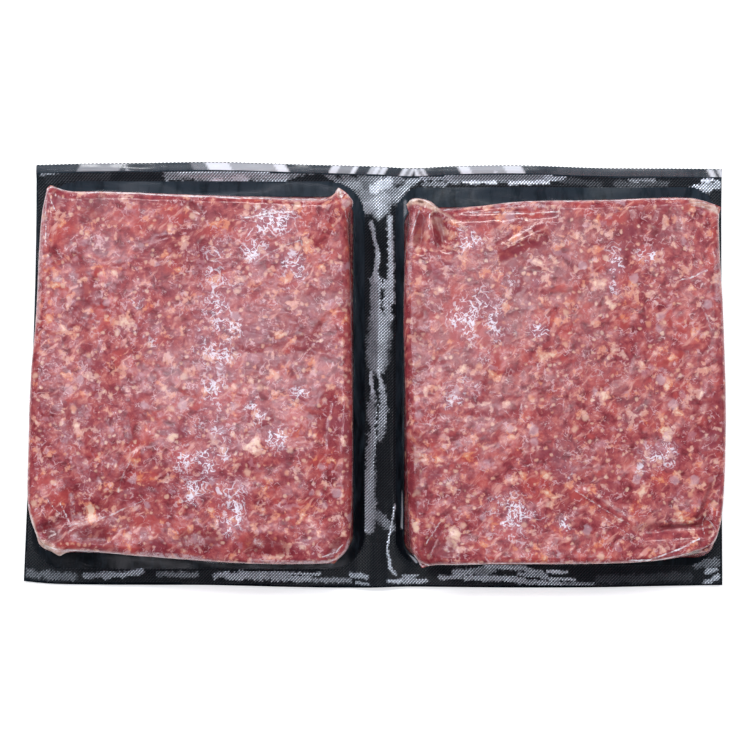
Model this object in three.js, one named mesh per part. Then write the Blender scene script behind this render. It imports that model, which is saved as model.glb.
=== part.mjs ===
// A twin vacuum pack of frozen ground meat, lying face up: two flat bricks of meat, side by side, each shut
// under a clear formed web that is welded to one black backing web. Units are millimetres, +Z is up, and the
// origin is the middle of the pack on the surface that it lies on. +X is the pack's right, +Y its far side.
//
// Each filled pocket (the brick with the clear film sucked tight onto it) is one closed solid: a patch for the
// top face, which rounds over into walls that run down to a plain rounded footprint. Its rim has the small
// horns where the spare film of the pocket's corners is pinched. The two webs, welded together outside the
// pockets, are one thin sheet that is flat under the bricks, humped between them and curled at its edges.

import * as THREE from "three";

// Sizes of the whole
const SHEET_LEFT = -132.6;
const SHEET_RIGHT = 132.6;
const SHEET_NEAR = -80.7;
const SHEET_FAR = 80.7;
const SHEET_THICKNESS = 0.4;
const BRICK_HEIGHT = 29; // from the supporting surface to the top face
const POCKET_FLOOR = SHEET_THICKNESS + 0.3; // a pocket stands this high, clear of the sheet
const EDGE_RADIUS = 4.2; // where the top face rounds over into a wall
const WALL_FLARE = 1.1; // the film spreads this far at a wall's foot
const WALL_FLARE_HEIGHT = 1.6;

// Relief of the ground meat under the film
const GRAIN_PITCH = 8; // clumps of a few strands each
const GRAIN_DEPTH = 0.5;
const SWELL_PITCH = 27; // slow rise and fall of the face
const SWELL_DEPTH = 0.7;
const WALL_GRAIN = 0.35;

// How finely the faces are cut
const FACE_STEP = 3.4;
const RIM_STOPS = [0, 0.7, 1.7, 3.0, 4.8, 7.4]; // distances from the rim, closer where it rounds over
const WALL_ROWS = 4;

// The sheet's rise outside the pockets
const FLAT_MARGIN = 1.2; // flat this far outside a footprint
const CURL_WIDTH = 9;
const FLANGE_RISE_NEAR = 0.4;
const FLANGE_RISE_FAR = 1.0;
const FLANGE_WAVE_NEAR = 0.3;
const FLANGE_WAVE_FAR = 0.8;
const FLANGE_WAVE_LENGTH = 58;
const FLANGE_TURN = 60; // the wave changes sides between this far from the middle line, near and far
const LIP_RISE = 1.2; // the unwelded lip at the far edge stands a little higher
const LIP_DROOP = 0.5; // and its edge hangs a little below its crest
const LIP_WIDTH = 3;
const WEB_X = 2.2; // middle of the strip between the bricks
const WEB_HALF_WIDTH = 8;
const WEB_RISE = 2.3;
const LEFT_FLANGE = 3.6; // width of the curled strip at the left

const CLEAR_FILM_ON_MEAT = new THREE.MeshStandardMaterial({
  color: new THREE.Color(0.62, 0.25, 0.27),
  roughness: 0.3,
  metalness: 0,
});
const BLACK_FILM = new THREE.MeshStandardMaterial({
  color: new THREE.Color(0.03, 0.035, 0.045),
  roughness: 0.28,
  metalness: 0,
});

// The sheet's four edges. The near edge bows outward, the far edge has a notch in line with the strip
// between the bricks, and the left edge leans.
const SHEET_EDGES = {
  near: [
    [SHEET_LEFT, -78.2],
    [-122, -79.2],
    [-65, -79.7],
    [-9, SHEET_NEAR],
    [10, -80.3],
    [66, SHEET_NEAR],
    [SHEET_RIGHT, -79.7],
  ],
  far: [
    [-127.5, 79.6],
    [-103, 80.2],
    [-65, SHEET_FAR],
    [-31, 80.0],
    [-1, 79.0],
    [15, 78.4],
    [30, 79.2],
    [54, 79.4],
    [87, 78.5],
    [132.2, 78],
  ],
  left: [
    [SHEET_LEFT, -78.2],
    [-130.6, -30],
    [-128.4, 30],
    [-127.5, 79.6],
  ],
  right: [
    [SHEET_RIGHT, -79.7],
    [132.4, 0],
    [132.2, 78],
  ],
};

// A pocket's rim runs along four edges; near and far go left to right, left and right go near to far.
// A crease is a valley (depth above 0) or a ridge (below 0) that runs from one point of the face to another.
const LEFT_POCKET = {
  name: "filled_pocket_left",
  seed: 11,
  footprint: { left: -124.2, right: -8.3, near: -66.5, far: 67, corner: 6, lean: 0.032 },
  rim: {
    near: [
      [-122.5, -61.9],
      [-118.8, -64.9],
      [-115.2, -66.9],
      [-112.2, -65.3],
      [-82, -67.4],
      [-47, -69.7],
      [-27, -70],
      [-14.2, -69.6],
    ],
    far: [
      [-120.3, 68.9],
      [-118.8, 70.2],
      [-116.2, 69.4],
      [-112, 68.2],
      [-98, 68],
      [-45, 66],
      [-18, 65.2],
      [-14.8, 66.9],
      [-12.8, 69.4],
      [-10.4, 67],
    ],
    left: [
      [-122.5, -61.9],
      [-125.8, -54.5],
      [-127.4, -47],
      [-127.2, -22],
      [-126.4, 0],
      [-124.6, 20],
      [-122.3, 58],
      [-120.3, 68.9],
    ],
    right: [
      [-14.2, -69.6],
      [-9, -64.1],
      [-7.7, -56],
      [-7, -10],
      [-8.1, 45],
      [-8.9, 58],
      [-7.2, 62.2],
      [-7, 64.2],
      [-10.4, 67],
    ],
  },
  creases: [
    { from: [-121, -57], to: [-101, -50], width: 2.6, depth: 1.5 },
    { from: [-117, -63], to: [-111, -45], width: 2.4, depth: 0.9 },
    { from: [-84, -66], to: [-30, -67], width: 2.2, depth: 0.8 },
    { from: [-20, -50], to: [-15, -10], width: 3.2, depth: 0.9 },
    { from: [-116, 66], to: [-120, 45], width: 2.0, depth: 0.8 },
    { from: [-97, -42], to: [-87, -29], width: 1.8, depth: -0.7 },
    { from: [-14, 64], to: [-20, 50], width: 2.4, depth: -0.9 },
  ],
};
const RIGHT_POCKET = {
  name: "filled_pocket_right",
  seed: 37,
  footprint: { left: 12.6, right: 128.2, near: -68.5, far: 63, corner: 6, lean: 0 },
  rim: {
    near: [
      [17.9, -71.3],
      [21.6, -70.6],
      [40, -70.1],
      [91, -69.6],
      [109.6, -68],
      [117, -65.8],
      [123.2, -63.8],
    ],
    far: [
      [12, 63],
      [14.2, 65.2],
      [17.9, 65.4],
      [21.6, 64.1],
      [25.2, 61.5],
      [36, 62.3],
      [54.4, 64.3],
      [84, 64.9],
      [113.3, 65.8],
      [119, 65.3],
      [125.1, 63.6],
      [128.6, 62.1],
    ],
    left: [
      [17.9, -71.3],
      [14.6, -66.3],
      [13.1, -59],
      [11.4, -5.5],
      [10.9, 24],
      [11.6, 46],
      [13, 58.5],
      [12, 63],
    ],
    right: [
      [123.2, -63.8],
      [126.2, -61],
      [128.5, -54],
      [130.3, -26],
      [129.6, 15],
      [128.1, 46],
      [127.9, 58.5],
      [128.6, 62.1],
    ],
  },
  creases: [
    { from: [100, -57.5], to: [123, -56], width: 2.3, depth: 1.7 },
    { from: [123, -54], to: [127, -38], width: 2.0, depth: 1.2 },
    { from: [78, -43], to: [96, -55], width: 1.9, depth: -0.8 },
    { from: [24, 58], to: [27, 49], width: 2.8, depth: 1.9 },
    { from: [19, 62], to: [17.5, 47], width: 2.2, depth: 1.1 },
    { from: [30, 58.5], to: [66, 60.5], width: 2.0, depth: 0.9 },
    { from: [117, 61], to: [127, 60], width: 1.8, depth: 1.0 },
    { from: [25, -57], to: [20, -68], width: 2.4, depth: 0.9 },
    { from: [48, 46], to: [62, 53], width: 2.0, depth: -0.8 },
  ],
};

const clamp = THREE.MathUtils.clamp;
const lerp = THREE.MathUtils.lerp;
const smoothstep = THREE.MathUtils.smoothstep;

// A number from 0 to 1 that belongs to one cell of a grid.
function cellValue(i, j, seed) {
  let h = Math.imul(i, 374761393) + Math.imul(j, 668265263) + Math.imul(seed, 1442695041);
  h = Math.imul(h ^ (h >>> 13), 1274126177);
  return ((h ^ (h >>> 16)) >>> 0) / 4294967296;
}

// Smooth noise from -1 to 1, with one random value for each cell.
function swell(x, y, pitch, seed) {
  const i = Math.floor(x / pitch);
  const j = Math.floor(y / pitch);
  const s = smoothstep(x / pitch - i, 0, 1);
  const t = smoothstep(y / pitch - j, 0, 1);
  const near = lerp(cellValue(i, j, seed), cellValue(i + 1, j, seed), s);
  const far = lerp(cellValue(i, j + 1, seed), cellValue(i + 1, j + 1, seed), s);
  return 2 * lerp(near, far, t) - 1;
}

// Pebbled relief, from 0 to 1: a dome on the nearest of one random point in each cell, each of its own height.
function pebbles(x, y, pitch, seed) {
  const ci = Math.floor(x / pitch);
  const cj = Math.floor(y / pitch);
  let best = Infinity;
  let height = 0;
  for (let i = ci - 1; i <= ci + 1; i++)
    for (let j = cj - 1; j <= cj + 1; j++) {
      const dx = (i + 0.1 + 0.8 * cellValue(i, j, seed)) * pitch - x;
      const dy = (j + 0.1 + 0.8 * cellValue(i, j, seed + 1)) * pitch - y;
      const away = Math.hypot(dx, dy) / pitch;
      if (away < best) {
        best = away;
        height = 0.35 + 0.65 * cellValue(i, j, seed + 2);
      }
    }
  return height * Math.sqrt(Math.max(0, 1 - best * best));
}

const curveThrough = (points) =>
  new THREE.CatmullRomCurve3(
    points.map(([x, y]) => new THREE.Vector3(x, y, 0)),
    false,
    "centripetal",
  );

// A patch bounded by four curves: u runs from left to right, v from near to far.
function patchBetween(edges) {
  const near = curveThrough(edges.near);
  const far = curveThrough(edges.far);
  const left = curveThrough(edges.left);
  const right = curveThrough(edges.right);
  const corner = [near.getPointAt(0), near.getPointAt(1), far.getPointAt(0), far.getPointAt(1)];
  return (u, v) => {
    const across = near.getPointAt(u).lerp(far.getPointAt(u), v);
    const along = left.getPointAt(v).lerp(right.getPointAt(v), u);
    const nearSide = corner[0].clone().lerp(corner[1], u);
    const farSide = corner[2].clone().lerp(corner[3], u);
    return across.add(along).sub(nearSide.lerp(farSide, v));
  };
}

// Positions from 0 to 1 along a side of the given length: the rim stops at both ends, even steps between them.
function faceStations(length) {
  const inner = length - 2 * RIM_STOPS.at(-1);
  const steps = Math.round(inner / FACE_STEP);
  const middle = Array.from({ length: steps - 1 }, (_, k) => RIM_STOPS.at(-1) + ((k + 1) * inner) / steps);
  const ends = RIM_STOPS.map((stop) => length - stop).reverse();
  return [...RIM_STOPS, ...middle, ...ends].map((at) => at / length);
}

// The nearest point of a footprint's outline: a rounded rectangle whose left side leans with the sheet's edge.
function onFootprint(point, footprint) {
  const { left, right, near, far, corner, lean } = footprint;
  const share = (right - point.x) / (right - left);
  const straightened = point.x - lean * point.y * share;
  const cx = clamp(straightened, left + corner, right - corner);
  const cy = clamp(point.y, near + corner, far - corner);
  const away = new THREE.Vector2(straightened - cx, point.y - cy).setLength(corner);
  const x = cx + away.x;
  return {
    x: x + (lean * (cy + away.y) * (right - x)) / (right - left),
    y: cy + away.y,
    outward: away.normalize(),
  };
}

// How far a point lies outside a footprint; below 0 inside it.
function outsideFootprint(x, y, { left, right, near, far, corner, lean }) {
  const straightened = x - (lean * y * (right - x)) / (right - left);
  const dx = Math.max(left + corner - straightened, straightened - right + corner);
  const dy = Math.max(near + corner - y, y - far + corner);
  return Math.hypot(Math.max(dx, 0), Math.max(dy, 0)) + Math.min(Math.max(dx, dy), 0) - corner;
}

// Depth of a pocket's creases at a point.
function creaseDepth(x, y, creases) {
  let depth = 0;
  for (const { from, to, width, depth: deepest } of creases) {
    const run = new THREE.Vector2(to[0] - from[0], to[1] - from[1]);
    const offset = new THREE.Vector2(x - from[0], y - from[1]);
    const share = clamp(offset.dot(run) / run.lengthSq(), 0, 1);
    const away = offset.sub(run.multiplyScalar(share)).length() / width;
    depth += deepest * Math.exp(-away * away);
  }
  return depth;
}

// Height of a pocket's top face, before it rounds over at the rim.
function faceHeight(x, y, { seed, creases }) {
  const slow = SWELL_DEPTH * swell(x, y, SWELL_PITCH, seed);
  const grain = GRAIN_DEPTH * (pebbles(x, y, GRAIN_PITCH, seed + 5) - 0.7);
  return BRICK_HEIGHT + slow + grain - creaseDepth(x, y, creases);
}

// A closed solid from triangles that share their vertices.
function solidFrom(vertices, triangles) {
  const geometry = new THREE.BufferGeometry();
  geometry.setAttribute("position", new THREE.Float32BufferAttribute(vertices.flat(), 3));
  geometry.setIndex(triangles.flat());
  geometry.computeVertexNormals();
  return geometry;
}

// Indices of a grid's border, anticlockwise seen from above. across and along are its numbers of stations.
function borderOf(across, along) {
  const at = (i, j) => j * across + i;
  const loop = [];
  for (let i = 0; i < across - 1; i++) loop.push(at(i, 0));
  for (let j = 0; j < along - 1; j++) loop.push(at(across - 1, j));
  for (let i = across - 1; i > 0; i--) loop.push(at(i, along - 1));
  for (let j = along - 1; j > 0; j--) loop.push(at(0, j));
  return loop;
}

// Two triangles for each cell of a grid, facing up. The diagonals alternate.
function gridTriangles(across, along) {
  const triangles = [];
  for (let j = 0; j < along - 1; j++)
    for (let i = 0; i < across - 1; i++) {
      const a = j * across + i;
      const b = a + 1;
      const c = a + across + 1;
      const d = a + across;
      if ((i + j) % 2) triangles.push([a, b, c], [a, c, d]);
      else triangles.push([a, b, d], [b, c, d]);
    }
  return triangles;
}

// Triangles of a wall between two loops of vertices, facing out; both loops run anticlockwise.
function wallTriangles(upper, lower) {
  return upper.flatMap((top, k) => {
    const next = (k + 1) % upper.length;
    return [
      [lower[k], lower[next], upper[next]],
      [lower[k], upper[next], top],
    ];
  });
}

function filledPocket(pocket) {
  const { rim, footprint, seed } = pocket;
  const patch = patchBetween(rim);
  const width = footprint.right - footprint.left;
  const length = footprint.far - footprint.near;
  const us = faceStations(width);
  const vs = faceStations(length);

  const vertices = [];
  for (const v of vs)
    for (const u of us) {
      const { x, y } = patch(u, v);
      const a = Math.max(0, 1 - (Math.min(u, 1 - u) * width) / EDGE_RADIUS);
      const b = Math.max(0, 1 - (Math.min(v, 1 - v) * length) / EDGE_RADIUS);
      const round = Math.min(1, Math.hypot(a, b));
      vertices.push([x, y, faceHeight(x, y, pocket) - EDGE_RADIUS * (1 - Math.sqrt(1 - round * round))]);
    }
  const triangles = gridTriangles(us.length, vs.length);

  let upper = borderOf(us.length, vs.length);
  const rimPoints = upper.map((index) => vertices[index]);
  for (let row = 1; row <= WALL_ROWS; row++) {
    const down = row / WALL_ROWS;
    const lower = rimPoints.map(([x, y, z], k) => {
      const foot = onFootprint({ x, y }, footprint);
      const height = lerp(z, POCKET_FLOOR, down);
      const settle = smoothstep(down, -0.35, 0.75);
      const grain = row < WALL_ROWS ? WALL_GRAIN * (2 * cellValue(k, row, seed + 9) - 1) : 0;
      const out = grain + WALL_FLARE * Math.exp(-(height - POCKET_FLOOR) / WALL_FLARE_HEIGHT);
      vertices.push([
        lerp(x, foot.x, settle) + foot.outward.x * out,
        lerp(y, foot.y, settle) + foot.outward.y * out,
        height,
      ]);
      return vertices.length - 1;
    });
    triangles.push(...wallTriangles(upper, lower));
    upper = lower;
  }

  const base = upper.map((index) => new THREE.Vector2(vertices[index][0], vertices[index][1]));
  for (const [a, b, c] of THREE.ShapeUtils.triangulateShape(base, []))
    triangles.push([upper[c], upper[b], upper[a]]);
  return solidFrom(vertices, triangles);
}

// Height of the sheet's underside: 0 under the bricks, a hump between them, and curled, wavy edges.
function sheetHeight(x, y) {
  const outside = Math.min(
    outsideFootprint(x, y, LEFT_POCKET.footprint),
    outsideFootprint(x, y, RIGHT_POCKET.footprint),
  );
  if (outside <= FLAT_MARGIN) return 0;
  const turn = clamp(y / FLANGE_TURN, -1, 1);
  const rise = FLANGE_RISE_NEAR + ((FLANGE_RISE_FAR - FLANGE_RISE_NEAR) * (1 + turn)) / 2;
  const wave = turn * (turn < 0 ? FLANGE_WAVE_NEAR : FLANGE_WAVE_FAR);
  const flange = rise + wave * Math.cos((2 * Math.PI * x) / FLANGE_WAVE_LENGTH);
  const crest = SHEET_FAR - LIP_WIDTH;
  const lip = LIP_RISE * smoothstep(y, crest - 1.5 * LIP_WIDTH, crest) - LIP_DROOP * smoothstep(y, crest, SHEET_FAR);
  const acrossWeb = (x - WEB_X) / WEB_HALF_WIDTH;
  const web = WEB_RISE * Math.exp(-acrossWeb * acrossWeb);
  const away = outside - FLAT_MARGIN;
  return Math.hypot(
    (flange + lip) * smoothstep(away, 0, CURL_WIDTH),
    web * smoothstep(away, 0, WEB_HALF_WIDTH / 2),
  );
}

// Positions from 0 to 1 across the sheet: marks are places in millimetres, with so many steps between them.
function sheetStations(marks, steps) {
  const stations = [0];
  steps.forEach((count, k) => {
    for (let n = 1; n <= count; n++)
      stations.push((lerp(marks[k], marks[k + 1], n / count) - marks[0]) / (marks.at(-1) - marks[0]));
  });
  return stations;
}

// A cell of the sheet that a pocket stands on is flat, with all its corners.
function flattenUnderPockets(grid, across, along) {
  const stoodOn = ([x, y]) =>
    [LEFT_POCKET, RIGHT_POCKET].some(({ footprint }) => outsideFootprint(x, y, footprint) < FLAT_MARGIN / 2);
  const flat = new Set();
  for (let j = 0; j < along - 1; j++)
    for (let i = 0; i < across - 1; i++) {
      const at = j * across + i;
      const cell = [at, at + 1, at + across, at + across + 1];
      if (cell.some((index) => stoodOn(grid[index]))) cell.forEach((index) => flat.add(index));
    }
  for (const index of flat) grid[index][2] = 0;
}

function weldedSheet() {
  const { footprint: first } = LEFT_POCKET;
  const { footprint: second } = RIGHT_POCKET;
  const us = sheetStations(
    [
      SHEET_LEFT,
      SHEET_LEFT + LEFT_FLANGE,
      first.right + FLAT_MARGIN,
      second.left - FLAT_MARGIN,
      second.right + FLAT_MARGIN,
      SHEET_RIGHT,
    ],
    [2, 7, 8, 7, 2],
  );
  const vs = sheetStations(
    [SHEET_NEAR, second.near - FLAT_MARGIN, first.far + FLAT_MARGIN, SHEET_FAR - LIP_WIDTH, SHEET_FAR],
    [4, 8, 4, 2],
  );
  const patch = patchBetween(SHEET_EDGES);
  const under = [];
  for (const v of vs)
    for (const u of us) {
      const { x, y } = patch(u, v);
      under.push([x, y, sheetHeight(x, y)]);
    }
  flattenUnderPockets(under, us.length, vs.length);
  const above = under.map(([x, y, z]) => [x, y, z + SHEET_THICKNESS]);
  const topTriangles = gridTriangles(us.length, vs.length);
  const count = above.length;
  const underTriangles = topTriangles.map(([a, b, c]) => [c + count, b + count, a + count]);
  const border = borderOf(us.length, vs.length);
  const edge = wallTriangles(
    border,
    border.map((index) => index + count),
  );
  return solidFrom([...above, ...under], [...topTriangles, ...underTriangles, ...edge]);
}

function namedMesh(name, geometry, material) {
  const mesh = new THREE.Mesh(geometry, material);
  mesh.name = name;
  return mesh;
}

const twinPack = new THREE.Group();
twinPack.add(namedMesh("backing_film", weldedSheet(), BLACK_FILM));
for (const pocket of [LEFT_POCKET, RIGHT_POCKET])
  twinPack.add(namedMesh(pocket.name, filledPocket(pocket), CLEAR_FILM_ON_MEAT));

export default twinPack;
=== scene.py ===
"""Looks of a twin vacuum pack of frozen ground meat, built around its CAD frame.

The CAD's three solids are replaced by what the real pack is made of: a black backing web, the knurled weld
that runs round its two windows, the meat in each pocket, the fine clear film that is sucked onto the meat, and
the clear web's loose lip. Lengths are millimetres in the CAD's frame until a mesh is made, where MM turns
them into metres.
"""

import bpy
import numpy as np
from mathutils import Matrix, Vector


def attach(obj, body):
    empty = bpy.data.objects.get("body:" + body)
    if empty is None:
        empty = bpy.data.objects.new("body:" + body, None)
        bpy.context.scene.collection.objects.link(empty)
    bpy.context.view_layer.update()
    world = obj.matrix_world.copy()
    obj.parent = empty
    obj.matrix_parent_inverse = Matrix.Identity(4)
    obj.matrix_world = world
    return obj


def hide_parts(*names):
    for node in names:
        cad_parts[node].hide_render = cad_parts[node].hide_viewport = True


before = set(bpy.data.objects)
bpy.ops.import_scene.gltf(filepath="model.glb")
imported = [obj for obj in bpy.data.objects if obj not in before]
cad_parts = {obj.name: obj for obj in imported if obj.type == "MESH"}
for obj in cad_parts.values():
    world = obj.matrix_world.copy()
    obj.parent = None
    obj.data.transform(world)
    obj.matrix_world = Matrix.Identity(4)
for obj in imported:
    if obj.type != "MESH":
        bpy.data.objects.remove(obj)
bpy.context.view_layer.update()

MM = 0.001

# ---------------------------------------------------------------- sizes that the CAD also uses

SHEET_WIDTH = 265.0
SHEET_FAR = 80.7
SHEET_THICKNESS = 0.4
BRICK_HEIGHT = 29.0
POCKET_FLOOR = SHEET_THICKNESS + 0.3
EDGE_RADIUS = 4.2
WALL_FLARE = 1.1
WALL_FLARE_HEIGHT = 1.6
GRAIN_PITCH = 8.0
GRAIN_DEPTH = 0.5
PEBBLE_LEVEL = 0.7
SWELL_PITCH = 27.0
SWELL_DEPTH = 0.7
FLAT_MARGIN = 1.2
CURL_WIDTH = 9.0
FLANGE_RISE_NEAR = 0.4
FLANGE_RISE_FAR = 1.0
FLANGE_WAVE_NEAR = 0.3
FLANGE_WAVE_FAR = 0.8
FLANGE_WAVE_LENGTH = 58.0
FLANGE_TURN = 60.0
LIP_RISE = 1.2
LIP_DROOP = 0.5
LIP_WIDTH = 3.0
WEB_X = 2.2
WEB_HALF_WIDTH = 8.0
WEB_RISE = 2.3

SHEET_EDGES = {
    "near": [(-132.6, -78.2), (-122, -79.2), (-65, -79.7), (-9, -80.7), (10, -80.3), (66, -80.7), (132.6, -79.7)],
    "far": [(-127.5, 79.6), (-103, 80.2), (-65, 80.7), (-31, 80), (-1, 79), (15, 78.4), (30, 79.2), (54, 79.4),
            (87, 78.5), (132.2, 78)],
    "left": [(-132.6, -78.2), (-130.6, -30), (-128.4, 30), (-127.5, 79.6)],
    "right": [(132.6, -79.7), (132.4, 0), (132.2, 78)],
}

# A rim's sides are points of the top's edge and an outline is a rounded rectangle whose left side leans. A crease
# goes from one point of the face to another, with its half width and depth, and is a ridge where that is below 0.
# A mark is a line on the face: its strength, its half width, and then x, y, x, y and so on. Its kinds are a pool
# of dark purge, an ear of spare film, brown spots that paint the shade in an ear's hole and at two near corners,
# a fold of the film that is frosted and painted white as a highlight, a veil of air under it, a tangle of fine
# wrinkles dotted with painted glints, and a lump of fat.
LEFT_POCKET = {
    "side": "left",
    "seed": 11,
    "footprint": {"left": -124.2, "right": -8.3, "near": -66.5, "far": 67.0, "corner": 6.0, "lean": 0.032},
    "window": {"left": -127.2, "right": -3.6, "near": -73.3, "far": 73.0, "corner": 13.0, "lean": 0.032},
    "rim": {
        "near": [(-122.5, -61.9), (-118.8, -64.9), (-115.2, -66.9), (-112.2, -65.3), (-82, -67.4), (-47, -69.7),
                 (-27, -70), (-14.2, -69.6)],
        "far": [(-120.3, 68.9), (-118.8, 70.2), (-116.2, 69.4), (-112, 68.2), (-98, 68), (-45, 66), (-18, 65.2),
                (-14.8, 66.9), (-12.8, 69.4), (-10.4, 67)],
        "left": [(-122.5, -61.9), (-125.8, -54.5), (-127.4, -47), (-127.2, -22), (-126.4, 0), (-124.6, 20),
                 (-122.3, 58), (-120.3, 68.9)],
        "right": [(-14.2, -69.6), (-9, -64.1), (-7.7, -56), (-7, -10), (-8.1, 45), (-8.9, 58), (-7.2, 62.2),
                  (-7, 64.2), (-10.4, 67)],
    },
    "creases": [
        ((-121, -57), (-101, -50), 2.6, 1.5),
        ((-117, -63), (-111, -45), 2.4, 0.9),
        ((-84, -66), (-30, -67), 2.2, 0.8),
        ((-20, -50), (-15, -10), 3.2, 0.9),
        ((-116, 66), (-120, 45), 2.0, 0.8),
        ((-97, -42), (-87, -29), 1.8, -0.7),
        ((-14, 64), (-20, 50), 2.4, -0.9),
    ],
    "marks": {
        "pool": [
            (0.9, 2.2, -119.4, -56.3, -117.2, -58.9), (0.55, 3.3, -68.9, -60.4, -59, -60.7),
            (0.6, 3.3, -44.3, -62.2, -34.1, -62.9), (0.85, 1.83, -15.4, -65.5, -12.5, -61.1),
            (0.6, 2.93, -106.6, -58.2, -100, -58.5), (0.4, 3.3, -103.7, 59.7, -100, 64.1),
            (0.25, 1.83, -9.2, 53.2, -8.4, -1.8, -8.8, -53), (0.5, 1.46, -67, 62.3, -63.4, 60.5),
        ],
        "ear": [
            (0.95, 2.3, -121.4, -62.6, -118, -64.8, -114.8, -66.4), (0.35, 1.1, -8.8, 63, -7.7, 63.4),
            (0.55, 1.1, -126, -51.9, -123.1, -61.5), (0.8, 0.95, -12.7, 68.2, -12.1, 66),
        ],
        # Frosted folds, painted white as highlights where they catch the light
        "frost_and_painted_glare": [
            (0.75, 0.44, -120.1, 68.5, -118.3, 69.6, -114.6, 68.5, -110.2, 67.8, -105.9, 67.1, -102.6, 67.6, -92.7,
             67.1, -63.4, 65.8, -41.4, 65.1, -18.7, 65.1, -14.7, 67.4, -12.7, 68.9),
            (0.85, 0.33, -119, 66.7, -117.9, 64.1, -116.5, 60.1),
            (0.85, 0.29, -119.9, 64.1, -120.1, 55, -119.8, 47.3), (0.9, 0.59, -13.2, 67.8, -12.5, 68.5, -11.4, 65.6),
            (0.6, 0.33, -12.5, 68.5, -8.4, 65.2, -6.6, 63.8), (0.5, 0.29, -11.4, 65.2, -9.9, 60.5, -8.8, 55),
            (0.45, 0.59, -126.7, -47.6, -125.3, -53.4, -123.1, -61.5),
            (0.7, 0.33, -121.2, -62.6, -118.3, -63.3, -113.9, -64.4, -109.1, -64.8, -101.8, -65.9, -92.7, -66.2),
            (0.8, 0.29, -119.4, -45.7, -116.1, -49.4, -113.5, -52.3),
            (0.85, 0.33, -114.6, -46.8, -113.2, -49.7, -112.1, -53.4),
            (0.8, 0.44, -48.7, 57.5, -40.7, 59, -29.7, 59.7), (0.45, 0.37, -86.4, -26.3, -90.5, -34.7, -93.4, -42.8),
            (0.4, 0.4, -113.9, -55.6, -105.5, -53.8, -96.3, -51.2, -81.7, -45),
            (0.5, 0.33, -18.7, -66.6, -13.6, -65.1, -11, -62.2), (0.35, 0.37, -43.2, 41.4, -35.9, 45.8, -26.8, 49.5),
            (0.4, 0.44, -28.6, 55, -25.7, 47.7),
        ],
        "veil": [
            (0.5, 0.95, -120.1, 67.8, -121.2, 58.6, -122, 45.8, -122.7, 31.2, -123.4, 20.2),
            (0.5, 0.73, -110.6, -43.9, -109.9, -54.1), (0.7, 1, -86, -66.2, -72.5, -66.8, -63.4, -67.6),
            (0.8, 0.6, -117, -64.4, -109.1, -65, -92.7, -66.4, -60, -68.4),
            (0.7, 0.6, -45.1, -67.9, -26.8, -68.9, -15, -68.6, -9.6, -64.8, -8.6, -61),
            (0.7, 0.88, -42.9, -60.7, -41, -62.6),
        ],
        # Tangles of fine wrinkles, with painted glints of the film
        "crackle_and_painted_glint": [
            (0.75, 3.6, -56.5, 46, -57.5, 20, -58.5, 0, -56, -26, -53.5, -50), (1, 3.52, -53.1, 39.2, -53.1, 34.1),
            (1, 3.52, -43.2, 44.7, -43.2, 44), (1, 3.52, -29.7, 41.1, -29.7, 37.4),
            (1, 3.52, -51.7, 28.3, -51.7, 26.8), (1, 7.91, -54.2, 11.8, -54.2, 11.8),
            (1, 2.2, -56.8, 0.1, -56.8, -16.8), (1, 2.64, -65.2, -18.6, -65.2, -21.6),
            (1, 5.27, -66.3, -32.2, -61.9, -32.2), (1, 3.95, -67, -42.1, -67, -42.1),
            (1, 3.95, -52.4, -43.9, -52.4, -53.4), (1, 3.08, -42.9, -12, -42.9, -13.5),
            (1, 3.08, -35.5, -23, -34.8, -23), (1, 3.52, -43.6, 56.1, -33.3, 56.1),
            (1, 2.2, -27.8, -7.3, -25.7, -7.3), (0.6, 2.64, -81.7, 12.9, -81.7, 12.9),
            (0.6, 2.2, -89, 27.5, -86.8, 27.5),
        ],
        "fat": [
            (1, 1.46, -73.6, -22.6, -72.9, -22.6), (1, 1.83, -44, -19.4, -42.5, -28.1),
            (1, 2.2, -105.9, -47.2, -103.7, -51.6), (0.8, 1.46, -104.4, 51.7, -103.7, 51),
        ],
    },
}
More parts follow.
